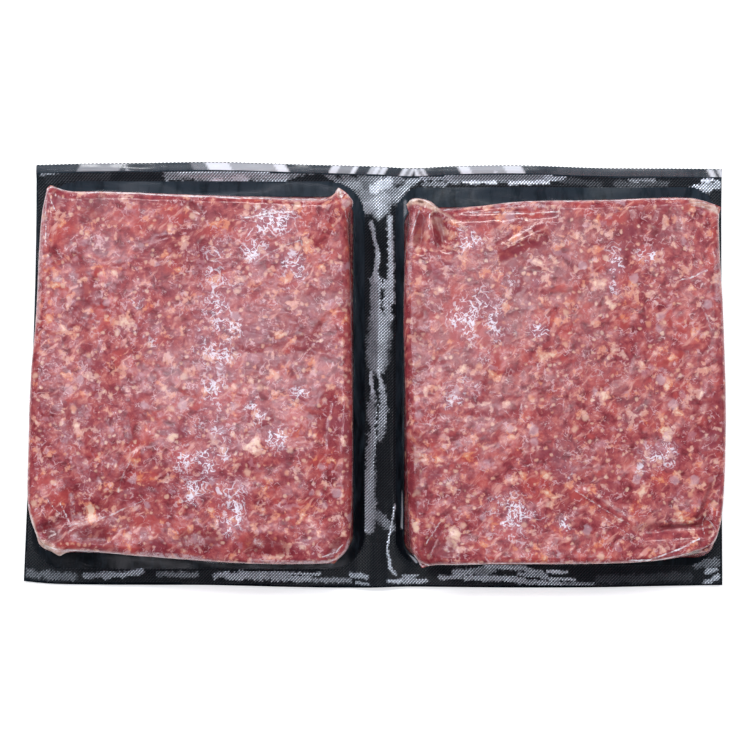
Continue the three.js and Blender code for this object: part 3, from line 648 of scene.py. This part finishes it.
class Shader:
    """A node material, with short ways to add its nodes."""

    def __init__(self, name):
        self.material = bpy.data.materials.new(name)
        self.material.use_nodes = True
        self.tree = self.material.node_tree
        self.tree.nodes.clear()
        self.output = self.tree.nodes.new("ShaderNodeOutputMaterial")
        self.place = self.tree.nodes.new("ShaderNodeTexCoord").outputs["Object"]

    def add(self, kind, result=0, settings=None, **inputs):
        """A node of that kind; inputs are values or other nodes' outputs. Returns one of its outputs."""
        node = self.tree.nodes.new("ShaderNode" + kind)
        for key, value in (settings or {}).items():
            setattr(node, key, value)
        for key, value in inputs.items():
            self.put(node.inputs[int(key[1:]) if key[1:].isdigit() else key.replace("_", " ")], value)
        return node.outputs[result]

    def put(self, socket, value):
        """Link an output to a socket, or set the socket to a value or to a colour written as on a screen."""
        if isinstance(value, bpy.types.NodeSocket):
            self.tree.links.new(value, socket)
        else:
            socket.default_value = colour(value) if isinstance(value, str) else value

    def math(self, operation, a, b=0.0, c=0.0):
        return self.add("Math", settings={"operation": operation}, i0=a, i1=b, i2=c)

    def vector(self, operation, a, b=None, **inputs):
        if b is not None:
            inputs["i1"] = b
        return self.add("VectorMath", settings={"operation": operation}, i0=a, **inputs)

    def noise(self, size, detail=2.0, roughness=0.5, distortion=0.0, vector=None):
        """Noise from 0 to 1 whose features are about that many millimetres."""
        return self.add(
            "TexNoise",
            Vector=vector or self.place,
            Scale=1 / (size * MM),
            Detail=detail,
            Roughness=roughness,
            Distortion=distortion,
        )

    def warped(self, size, amount, shift=0.0):
        """The surface's place, pushed about by noise of that size, and by that many millimetres."""
        moved = self.vector("ADD", self.place, (shift, shift, shift))
        noise = self.add("TexNoise", 1, Vector=moved, Scale=1 / (size * MM), Detail=2.0)
        centred = self.vector("SUBTRACT", noise, (0.5, 0.5, 0.5))
        return self.vector("ADD", moved, self.vector("SCALE", centred, Scale=2 * amount * MM))

    def cells(self, size, vector, result=0):
        """Cells of that many millimetres: the distance from their points (0), or a colour for each (1)."""
        return self.add("TexVoronoi", result, Vector=vector, Scale=1 / (size * MM))

    def step(self, value, low, high):
        """0 below low, 1 above high, smooth between them; the other way round if low is above high."""
        return self.add(
            "MapRange",
            settings={"interpolation_type": "SMOOTHSTEP"},
            Value=value,
            From_Min=min(low, high),
            From_Max=max(low, high),
            To_Min=0.0 if low < high else 1.0,
            To_Max=1.0 if low < high else 0.0,
        )

    def blend(self, factor, a, b, most=1.0):
        """Colour a where factor is 0, and b where it is 1, or at most so much of b."""
        if most < 1:
            factor = self.math("MULTIPLY", factor, most)
        return self.add("Mix", 2, {"data_type": "RGBA"}, i0=factor, i6=a, i7=b)

    def ramp(self, value, *stops):
        """Colours at values between 0 and 1, blended in between."""
        node = self.tree.nodes.new("ShaderNodeValToRGB")
        elements = node.color_ramp.elements
        while len(elements) < len(stops):
            elements.new(0.5)
        for element, (at, hex_text) in zip(elements, stops):
            element.position = at
            element.color = colour(hex_text)
        self.put(node.inputs[0], value)
        return node.outputs[0]

    def squiggles(self, size, width, cover, vector):
        """Broken wriggling lines, 1 on a line, that show in more places the more cover there is."""
        level = self.noise(size, 1.5, 0.55, 0.5, vector)
        line = self.step(self.math("ABSOLUTE", self.math("SUBTRACT", level, 0.5)), width, width * 0.35)
        mask = self.math("ADD", self.noise(size * 1.7, 2, 0.6, vector=vector), self.math("MULTIPLY", cover, 0.25))
        return self.math("MULTIPLY", line, self.step(mask, 0.60, 0.68))

    def attribute(self, name):
        return self.add("Attribute", 2, {"attribute_name": name})

    def bump(self, height, distance, strength=1.0):
        return self.add("Bump", Height=height, Distance=distance * MM, Strength=strength)

    def finish(self, surface):
        self.tree.links.new(surface, self.output.inputs["Surface"])
        return self.material


def colour(hex_text):
    """Linear RGBA of a colour written as on a screen."""
    parts = [int(hex_text[k : k + 2], 16) / 255 for k in (0, 2, 4)]
    return (*(p / 12.92 if p <= 0.04045 else ((p + 0.055) / 1.055) ** 2.4 for p in parts), 1.0)


def meat_material():
    s = Shader("ground_meat")
    pushed, torn, soft = s.warped(7, 2.6), s.warped(2.2, 1.1, 0.31), s.warped(2.6, 1.0, 0.77)
    # Lean: strands from maroon through red to pink, mottled finely
    tone = s.noise(3.6, 4, 0.66, vector=pushed)
    base = s.ramp(tone, (0.32, "6F1D26"), (0.42, "8B303A"), (0.50, "A04349"), (0.59, "B45957"), (0.70, "CB7C73"))
    base = s.blend(s.step(s.noise(34, 1, 0.5), 0.5, 0.36), base, "7C2733", 0.35)
    hue = s.noise(9.5, 2, 0.55, vector=torn)
    base = s.blend(s.step(hue, 0.54, 0.66), base, "C04C46", 0.55)
    base = s.blend(s.step(hue, 0.42, 0.32), base, "8B3B49", 0.55)
    # Fibres: pale streaks that run one way for a while
    along = s.add("Mapping", 0, {"vector_type": "TEXTURE"}, i0=pushed, i2=(0, 0, 0.75), i3=(3.4, 0.8, 1.0))
    fibre = s.noise(2.6, 2, 0.6, vector=along)
    base = s.blend(s.math("MULTIPLY", s.step(fibre, 0.54, 0.70), s.step(hue, 0.44, 0.58)), base, "D48D84")
    # Fat: torn flakes, salmon at the edge and cream in the middle, and small lumps
    fat = s.math("ADD", s.noise(4.6, 3, 0.55, vector=s.warped(3.0, 1.6, 0.41)), s.math("MULTIPLY", tone, 0.4))
    fat = s.math("ADD", fat, s.math("MULTIPLY", s.attribute("fat"), 0.17))
    flake = s.ramp(hue, (0.38, "D9A39A"), (0.50, "DD9885"), (0.62, "DC825F"))
    base = s.blend(s.step(fat, 0.775, 0.855), base, flake, 0.82)
    base = s.blend(s.step(fat, 0.87, 0.96), base, "EBC3AC")
    for size, share, shift in ((2.2, 0.30, 0.5), (3.9, 0.20, 0.73)):
        moved = s.warped(2.0, 0.9, shift)
        picked = s.step(s.cells(size, moved, 1), share, share - 0.02)
        lump = s.math("MULTIPLY", s.step(s.cells(size, moved), 0.46, 0.16), picked)
        tint = s.ramp(s.cells(size, moved, 1), (0.0, "DD8463"), (share * 0.4, "E09E86"), (share, "E8BFAB"))
        base = s.blend(lump, base, tint, 0.75)
    # Mauve patches and chips, where a smear of air or ice lies between film and meat
    gap = s.math("ADD", s.noise(5.4, 2, 0.5, vector=torn), s.math("MULTIPLY", tone, 0.35))
    base = s.blend(s.step(gap, 0.82, 0.90), base, "BC8795", 0.4)
    chip = s.math("MULTIPLY", s.step(s.cells(4.6, torn), 0.50, 0.30), s.step(s.cells(4.6, torn, 1), 0.17, 0.16))
    base = s.blend(chip, base, "C9A6B0", 0.5)
    # Pale squiggles: the edges of thin gaps under the film. In the tangles a lavender tint and dense near-white
    # squiggles are painted glints and sheen of the film
    crackle_and_painted_glint = s.attribute("crackle_and_painted_glint")
    base = s.blend(s.squiggles(3.5, 0.028, 0.3, torn), base, "D9A9AE", 0.7)
    base = s.blend(s.squiggles(2.0, 0.035, 0.2, soft), base, "D9A9AE", 0.6)
    # Painted sheen and glints: a lavender tint over the tangles and near-white squiggles in them
    base = s.blend(crackle_and_painted_glint, base, "C79DB2", 0.22)
    dense = s.math("MAXIMUM", s.squiggles(2.2, 0.045, crackle_and_painted_glint, torn), s.squiggles(3.9, 0.033, crackle_and_painted_glint, soft))
    base = s.blend(s.math("MULTIPLY", dense, s.math("POWER", crackle_and_painted_glint, 0.6)), base, "F6ECF8")
    # Purge, ears, and brown spots of painted shade in an ear's hole and at two near corners
    base = s.blend(s.attribute("pool"), base, s.blend(tone, "4E0C16", "8C2731"))
    base = s.blend(s.attribute("ear"), base, s.ramp(tone, (0.42, "B98D80"), (0.52, "D3AC9C"), (0.60, "E9D2C6")))
    base = s.blend(s.attribute("brown"), base, s.ramp(tone, (0.42, "4C2420"), (0.60, "8A5A48")))
    # Veils of air, and the white lines of the folds: frost, and painted highlight where a fold catches the light
    veil = s.math("MULTIPLY", s.attribute("veil"), s.step(s.noise(1.6, 3, 0.7, 1.5), 0.36, 0.62))
    base = s.blend(veil, base, "DCC3C9")
    ragged = s.math("MULTIPLY_ADD", s.noise(1.0, 2, 0.6), 0.6, s.attribute("fold"))
    breaks = s.step(s.noise(2.6, 2, 0.6), 0.40, 0.56)
    line = s.math("MULTIPLY", s.step(ragged, 1.0, 1.2), s.math("MULTIPLY_ADD", breaks, 0.8, 0.2))
    # Painted highlight: the fold lines are blended to near white
    base = s.blend(s.math("MULTIPLY", line, s.attribute("white")), base, "F6EEF3")
    # The coat is the shine of the film that is sucked onto the meat
    wrinkles = s.noise(1.9, 2, 0.55, 0.9, s.warped(3, 1.0, 0.6))
    surface = s.add(
        "BsdfPrincipled",
        Base_Color=base,
        Roughness=0.6,
        Specular_IOR_Level=0.15,
        Normal=s.bump(tone, 0.3, 0.4),
        Coat_Weight=1.0,
        Coat_Roughness=0.17,
        Coat_IOR=1.42,
        Coat_Normal=s.bump(s.math("MULTIPLY", wrinkles, s.attribute("wrinkle")), 0.5, 1.0),
    )
    return s.finish(surface)


def clear_film_material():
    """The film where it shows by itself: milky in places, which also paints the lip's glare and the skirts'
    streaks of light, and glossy where it lies on nothing.
    """
    s = Shader("clear_film")
    gloss = s.add("BsdfGlossy", Color=(1, 1, 1, 1), Roughness=0.16)
    ice_and_painted_glare = s.add("BsdfDiffuse", Color="EDF1F8", Roughness=0.5)
    clear = s.add("BsdfTransparent", Color=(1, 1, 1, 1))
    milky = s.add("MixShader", i0=s.attribute("milky_white"), i1=clear, i2=ice_and_painted_glare)
    mirror = s.math("MINIMUM", s.add("Fresnel", IOR=1.5), 0.16)
    return s.finish(s.add("MixShader", i0=s.math("MULTIPLY", mirror, s.attribute("shine")), i1=milky, i2=gloss))


def black_film_material():
    """The black web: drawn into faint streaks from near to far, painted a little lighter towards the far edge as a
    reflection of the far lights, and darker towards the near one as shade.
    """
    s = Shader("black_film")
    drawn = s.add("Mapping", 0, {"vector_type": "TEXTURE"}, i0=s.warped(9, 1.5), i3=(1.0, 5.0, 1.0))
    # Painted reflection and shade: the base colour gets lighter towards the far edge and darker towards the near one
    far_for_painted_light = s.add("SeparateXYZ", 1, Vector=s.place)
    value = s.math("MULTIPLY_ADD", far_for_painted_light, 2.0, s.noise(3, 3, 0.6, vector=drawn))
    surface = s.add(
        "BsdfPrincipled",
        Base_Color=s.ramp(value, (0.35, "0B1117"), (0.52, "1E2830"), (0.68, "2B353E")),
        Roughness=s.add("MapRange", Value=s.noise(6, 3, 0.6), To_Min=0.12, To_Max=0.3),
        Specular_IOR_Level=0.1,
        Normal=s.bump(s.noise(5, 3, 0.6, 0.4), 0.12, 0.6),
    )
    return s.finish(surface)


def knurl_material():
    """The weld: dark film whose faces painted white as highlights also glint."""
    s = Shader("knurled_weld")
    surface = s.add(
        "BsdfPrincipled",
        # Painted highlight: near white over the dark film, as much as the white attribute says
        Base_Color=s.blend(s.attribute("white"), "0A1016", "E9F2FF"),
        Metallic=s.math("MULTIPLY", s.attribute("glint"), 0.85),
        Roughness=s.add("MapRange", Value=s.attribute("white"), To_Min=0.2, To_Max=0.4),
        Specular_IOR_Level=0.06,
    )
    return s.finish(surface)


# ---------------------------------------------------------------- pieces


def make_meat(pocket, points, quads, normals, foot, material):
    """The meat, just inside the plain skin, closed by a fan under its foot."""
    seed = pocket["seed"]
    bent = points + STRAND_BEND * np.column_stack([value_noise(points, 7.0, seed + k) for k in (20, 21, 22)])
    strands = pebbles(bent * (1.15, 1.0, 1.0), STRAND_PITCH, seed + 30)
    fine = layered_noise(points, 1.9, seed + 40)
    pits = smoothstep(layered_noise(points, 6.0, seed + 50), 0.25, 0.6)
    kinds = ("pool", "ear", "brown", "veil", "crackle_and_painted_glint", "fat")
    marks = {kind: mark_strength(points, pocket, kind) for kind in kinds}
    marks["fold"], marks["white"] = fold_field(points, pocket)
    depth = MEAT_SINK + STRAND_DEPTH * (1 - strands) + FINE_DEPTH * fine + PIT_DEPTH * pits
    depth = depth + POOL_DEPTH * marks["pool"]
    loose = smoothstep(value_noise(points, 15.0, seed + 85), 0.2, 0.7)
    marks["crackle_and_painted_glint"] *= 0.3 + 0.7 * smoothstep(value_noise(points, 5.0, seed + 90), -0.5, 0.4)
    marks["wrinkle"] = 0.12 + 0.2 * loose + 0.6 * marks["crackle_and_painted_glint"]
    moved = points - normals * depth[:, None]
    moved[:, 2] = np.maximum(moved[:, 2], POCKET_FLOOR)
    centre = np.append(moved[foot, :2].mean(axis=0), POCKET_FLOOR)
    fan = np.column_stack([np.roll(foot, -1), foot, np.full(len(foot), len(moved))])
    faces = quads.tolist() + fan.tolist()
    closed = np.vstack([moved, centre])
    attributes = {kind: np.append(values, 0) for kind, values in marks.items()}
    return make_piece(f"meat_{pocket['side']}", closed, faces, material, attributes), depth


def make_film(pocket, points, quads, normals, foot, meat_depth, material):
    """The clear film: taut over the meat, down its walls, and out to the weld."""
    seed = pocket["seed"]
    fold, _ = fold_field(points, pocket)
    taut = layered_noise(points, 5.0, seed + 60, 2)
    crinkle = layered_noise(points, 1.8, seed + 70, 2) * smoothstep(value_noise(points, 12.0, seed + 75), -0.2, 0.6)
    lift = FILM_LIFT + TAUT_HEIGHT * taut + CRINKLE_HEIGHT * crinkle + FOLD_HEIGHT * smoothstep(fold, 0.3, 1)
    lift = np.maximum(lift, FILM_GAP - meat_depth)
    moved = points + normals * lift[:, None]
    moved[:, 2] = np.minimum(moved[:, 2], FILM_TOP)
    milky_white = 0.05 * smoothstep(layered_noise(points, 14.0, seed + 80), 0.2, 0.9)

    # The skirt: from the brick's foot out over the web to the weld
    start = moved[foot]
    edge, _ = on_outline(start[:, :2], pocket["window"])
    skirt, skirt_quads = [], []
    upper = foot
    for row in range(1, SKIRT_ROWS + 1):
        share = row / SKIRT_ROWS
        place = start[:, :2] * (1 - share) + edge * share
        height = sheet_top(place[:, 0], place[:, 1]) + SKIN_GAP
        height = np.maximum(height, start[:, 2] * (1 - smoothstep(share, 0, 0.6)))
        skirt.append(np.column_stack([place, height]))
        lower = np.arange(len(foot)) + len(moved) + (row - 1) * len(foot)
        skirt_quads.append(loop_quads(upper, lower))
        upper = lower
    x, y, _ = np.vstack(skirt).T
    # Painted highlights: streaks of light on the skirt, drawn in milky white
    streaks = np.zeros(len(x))
    for *path, width, strength in PAINTED_SKIRT_STREAKS:
        off = distance_to_path(x, y, path)
        streaks = np.maximum(streaks, strength * smoothstep(off, width * 1.6, width * 0.4))
    everything = np.vstack([moved, *skirt])
    faces = np.vstack([quads, *skirt_quads]).tolist()
    attributes = {"milky_white": np.concatenate([milky_white, streaks]), "shine": np.zeros(len(everything))}
    make_piece(f"film_{pocket['side']}", everything, faces, material, attributes)


def even(length, step):
    """Positions from 0 to 1 along a length, about that far apart."""
    return np.linspace(0, 1, round(length / step) + 1)


def make_backing(material):
    """The black web: a thin closed sheet with a finely serrated far edge."""
    us = even(SHEET_WIDTH, SERRATION_PITCH / 2)
    vs = np.concatenate([np.linspace(0, 0.1, 14)[:-1], np.linspace(0.1, 0.9, 50)[:-1], np.linspace(0.9, 1, 16)])
    flat = patch_between(SHEET_EDGES, us, vs)
    flat[-1, :, 1] += np.where(np.arange(len(us)) % 2, 0.5, -0.5) * SERRATION_DEPTH
    flat = flat.reshape(-1, 2)
    top = sheet_top(flat[:, 0], flat[:, 1])
    above = np.column_stack([flat, top])
    under = np.column_stack([flat, top - SHEET_THICKNESS])
    quads = grid_quads(len(vs), len(us))
    border = grid_border(len(vs), len(us))
    faces = np.vstack([quads, quads[:, ::-1] + len(above), loop_quads(border, border + len(above))])
    return make_piece("black_web", np.vstack([above, under]), faces.tolist(), material)


def make_knurl(material):
    """The weld's diamonds: a point at every second crossing of a fine grid, outside the windows."""
    across = np.arange(-133, 133, KNURL_STEP)
    along = np.arange(-81, 81, KNURL_STEP)
    x, y = (a.ravel() for a in np.meshgrid(across, along))
    near, far, left, right = (
        curve_through(SHEET_EDGES[side])(np.linspace(0, 1, count)).T
        for side, count in (("near", 400), ("far", 400), ("left", 100), ("right", 100))
    )
    inside = np.minimum.reduce([
        np.interp(x, *far) - LIP_LINE - y,
        y - np.interp(x, *near) - NEAR_MARGIN,
        x - np.interp(y, *left[::-1]) - SIDE_MARGIN,
        np.interp(y, *right[::-1]) - x - SIDE_MARGIN,
        *(outside_outline(x, y, pocket["window"]) for pocket in POCKETS),
    ])
    parity = (np.arange(len(across))[None, :] + np.arange(len(along))[:, None]).ravel() % 2
    quads = grid_quads(len(along), len(across))
    quads = quads[(inside[quads] > 0).all(axis=1)]
    low_first = parity[quads[:, 0]] == 0  # each square is cut from low corner to low corner
    a, b, c, d = quads.T
    cuts = (((a, b, c), low_first), ((a, c, d), low_first), ((a, b, d), ~low_first), ((b, c, d), ~low_first))
    triangles = np.vstack([np.stack(corners, -1)[which] for corners, which in cuts])
    used, triangles = np.unique(triangles, return_inverse=True)
    triangles = triangles.reshape(-1, 3)
    x, y, parity, inside = x[used], y[used], parity[used], inside[used]
    flat = np.stack([x, y], axis=-1)
    lift = KNURL_LIFT + KNURL_HEIGHT * parity * smoothstep(inside, 0, 0.8)
    points = np.column_stack([x, y, sheet_top(x, y) + lift])

    # Painted highlight: each diamond has its face towards the light painted white, so that they line up in strokes
    centre = flat[triangles].mean(axis=1)
    high = flat[triangles][np.arange(len(triangles)), parity[triangles].argmax(axis=1)]
    away = centre - high
    cx, cy = centre.T
    side = np.where(cy < NEAR_WELD, -1, 1)
    stroke = smoothstep(side * (away @ (-1, 1)) / KNURL_STEP, 0.1, 0.5)
    along = smoothstep(np.abs(away @ (1, 1)) / KNURL_STEP, 0.1, 0.5)
    white = np.full(len(centre), 0.04)
    solid = np.zeros(len(centre))
    ragged = 0.3 * value_noise(centre, 2.2, 96) + 0.45 * value_noise(centre, 0.62, 97)
    for *path, width, strength, share in PAINTED_WELD_HIGHLIGHTS:
        off = distance_to_path(cx, cy, path) + np.minimum(width, 1.6) * ragged
        here = smoothstep(off, width * 1.3, width * 0.6)
        white = np.maximum(white, strength * here)
        solid = np.maximum(solid, share * here)
    patchy = 0.75 + 0.25 * smoothstep(layered_noise(centre, 3.0, 95, 2), -1.0, 0.2)
    white = white * patchy * np.maximum(stroke + 0.35 * along, solid)
    # Between the bricks the diamonds glint less than on the two flanges
    on_flange = np.maximum(smoothstep(cy, 35, 60), smoothstep(cy, NEAR_WELD + 4, NEAR_WELD))
    attributes = {"white": white, "glint": white * (0.55 + 0.45 * on_flange)}
    make_piece("knurled_weld", points, triangles.tolist(), material, attributes, flat=True)


def make_lip(material):
    """The clear web's loose lip, just above the black one, with its glare painted milky white in places."""
    us = even(SHEET_WIDTH - 3, 0.7)
    vs = np.linspace(*LIP_SPAN, 7)
    flat = patch_between(SHEET_EDGES, us, vs).reshape(-1, 2)
    share = np.repeat(np.linspace(0, 1, len(vs)), len(us))
    gap = SKIN_GAP + share * (0.3 + 0.25 * value_noise(flat, 9.0, 91))
    x, y = flat.T
    points = np.column_stack([flat, sheet_top(x, y) + gap])
    # Painted highlight: patches of glare along the lip, drawn in milky white
    slanted = x + (y - SHEET_FAR) * np.where(value_noise(flat, 11.0, 92) > 0, 0.6, -0.6)
    painted_glare = np.maximum.reduce([
        strength * smoothstep(slanted, start - 0.8, start + 0.4) * smoothstep(slanted, end + 0.8, end - 0.4)
        for start, end, strength in LIP_PAINTED_GLARE
    ])
    attributes = {"milky_white": np.maximum(painted_glare, 0.04), "shine": np.full(len(points), 0.4)}
    make_piece("clear_lip", points, grid_quads(len(vs), len(us)).tolist(), material, attributes)


meat = meat_material()
film = clear_film_material()
for pocket in POCKETS:
    skin, skin_quads, foot = plain_skin(pocket)
    skin_normals = vertex_normals(skin, skin_quads)
    brick, brick_depth = make_meat(pocket, skin, skin_quads, skin_normals, foot, meat)
    make_film(pocket, skin, skin_quads, skin_normals, foot, brick_depth, film)
    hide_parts(f"filled_pocket_{pocket['side']}")
web = make_backing(black_film_material())
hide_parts("backing_film")
make_knurl(knurl_material())
make_lip(film)

# ---------------------------------------------------------------- floor, light and camera


def make_floor():
    mesh = bpy.data.meshes.new("floor")
    half = 3.0
    mesh.from_pydata([(-half, -half, 0), (half, -half, 0), (half, half, 0), (-half, half, 0)], [], [(0, 1, 2, 3)])
    s = Shader("floor_white")
    white = s.add("BsdfDiffuse", Color=(0.9, 0.9, 0.9, 1))
    glow = s.add("Emission", Color=(1, 1, 1, 1), Strength=0.45)
    mesh.materials.append(s.finish(s.add("AddShader", i0=white, i1=glow)))
    floor = bpy.data.objects.new("floor", mesh)
    floor.location.z = -0.0004
    bpy.context.scene.collection.objects.link(floor)


MIDDLE = (0, 0, 0)
WHITE = (1, 1, 1)

# Name, place, size, power in watts, the point that it looks at, and its tint
LIGHTS = [
    ("far_left_softbox", (-0.75, 0.7, 1.1), (0.45, 0.45), 6.65, MIDDLE, WHITE),
    ("far_right_softbox", (0.8, 0.6, 1.1), (0.5, 0.5), 3.99, MIDDLE, WHITE),
    ("left_fill", (-1.2, 0.4, 0.95), (0.35, 0.5), 2.18, MIDDLE, WHITE),
    ("right_fill", (1.1, -0.2, 0.9), (0.8, 1.0), 1.14, MIDDLE, WHITE),
    ("near_softbox", (0.7, -0.95, 1.1), (0.45, 0.28), 2.35, MIDDLE, WHITE),
    ("far_strip", (0.0, 0.6, 1.25), (0.5, 0.12), 5.8, MIDDLE, WHITE),
    ("far_panel", (0.0, 0.45, 1.3), (1.6, 0.7), 1.76, (0, 0.3, 0), (0.78, 0.89, 1.05)),
    ("broad_panel", (-0.11, 0.0, 1.25), (0.25, 0.45), 0.427, (-0.06, 0, 0), (0.90, 0.94, 1.05)),
    ("strip", (-0.13, 0.0, 1.2), (0.035, 0.3), 1.04, (-0.06, 0, 0), (0.93, 0.90, 1.0)),
    ("window_a", (0.093, 0.05, 1.2), (0.05, 0.12), 0.42, MIDDLE, WHITE),
    ("window_b", (0.22, 0.1, 1.2), (0.04, 0.1), 0.294, MIDDLE, WHITE),
]


def area_light(name, place, size, power, target, tint):
    light = bpy.data.lights.new(name, "AREA")
    light.shape = "RECTANGLE"
    light.size, light.size_y = size
    light.energy = power
    light.color = tint
    lamp = bpy.data.objects.new(name, light)
    lamp.location = place
    lamp.rotation_euler = (Vector(target) - Vector(place)).to_track_quat("-Z", "Y").to_euler()
    bpy.context.scene.collection.objects.link(lamp)


def make_light():
    world = bpy.data.worlds.new("studio")
    world.use_nodes = True
    sky = world.node_tree.nodes["Background"]
    sky.inputs["Color"].default_value = (0.72, 0.86, 1.08, 1)
    sky.inputs["Strength"].default_value = 0.10
    bpy.context.scene.world = world
    for light in LIGHTS:
        area_light(*light)


def make_camera():
    """Straight above, where 750 pixels span 285 mm of the surface that the pack lies on."""
    height = 0.8
    span = 0.285
    camera = bpy.data.cameras.new("camera")
    camera.sensor_width = 36
    camera.lens = camera.sensor_width * height / span
    view = bpy.data.objects.new("camera", camera)
    view.location = (0.00074, 0.00006, height)  # the pack lies a little off the photograph's middle
    bpy.context.scene.collection.objects.link(view)
    bpy.context.scene.camera = view


make_floor()
make_light()
make_camera()
bpy.context.scene.view_settings.view_transform = "Standard"
bpy.context.scene.cycles.use_denoising = True
bpy.context.scene.cycles.denoising_prefilter = "NONE"
